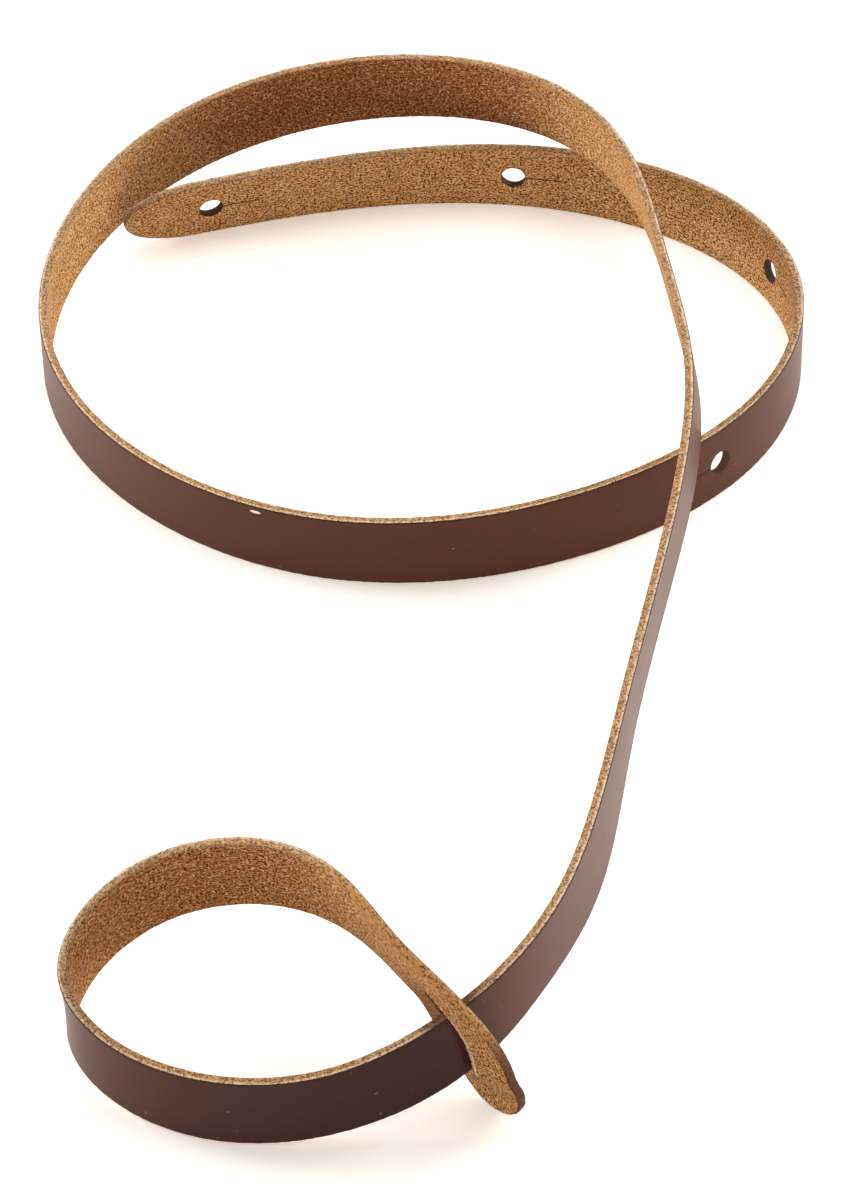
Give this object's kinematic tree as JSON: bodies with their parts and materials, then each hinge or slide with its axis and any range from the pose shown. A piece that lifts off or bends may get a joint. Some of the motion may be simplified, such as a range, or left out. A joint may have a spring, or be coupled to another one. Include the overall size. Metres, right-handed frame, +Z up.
{
  "type": "mandolin strap",
  "caption": "Long narrow leather mandolin strap standing on its edge in crossed loops, with button holes at its round-nosed end and a small noose closed through a slit at the other.",
  "frame": {"origin": "under the middle of the strap's box, on the surface it stands on", "axes": "+Z up along the strap's width, +Y from the small noose towards the big loop, +X towards the big loop's end where the button holes curve round"},
  "size_m": [0.157, 0.279, 0.0423],
  "materials": {
    "strap_leather": "smooth semi-gloss dark brown grain side, bare tan flesh side and cut edges"
  },
  "bodies": {
    "root": {"strap": "strap_leather"}
  },
  "joints": []
}
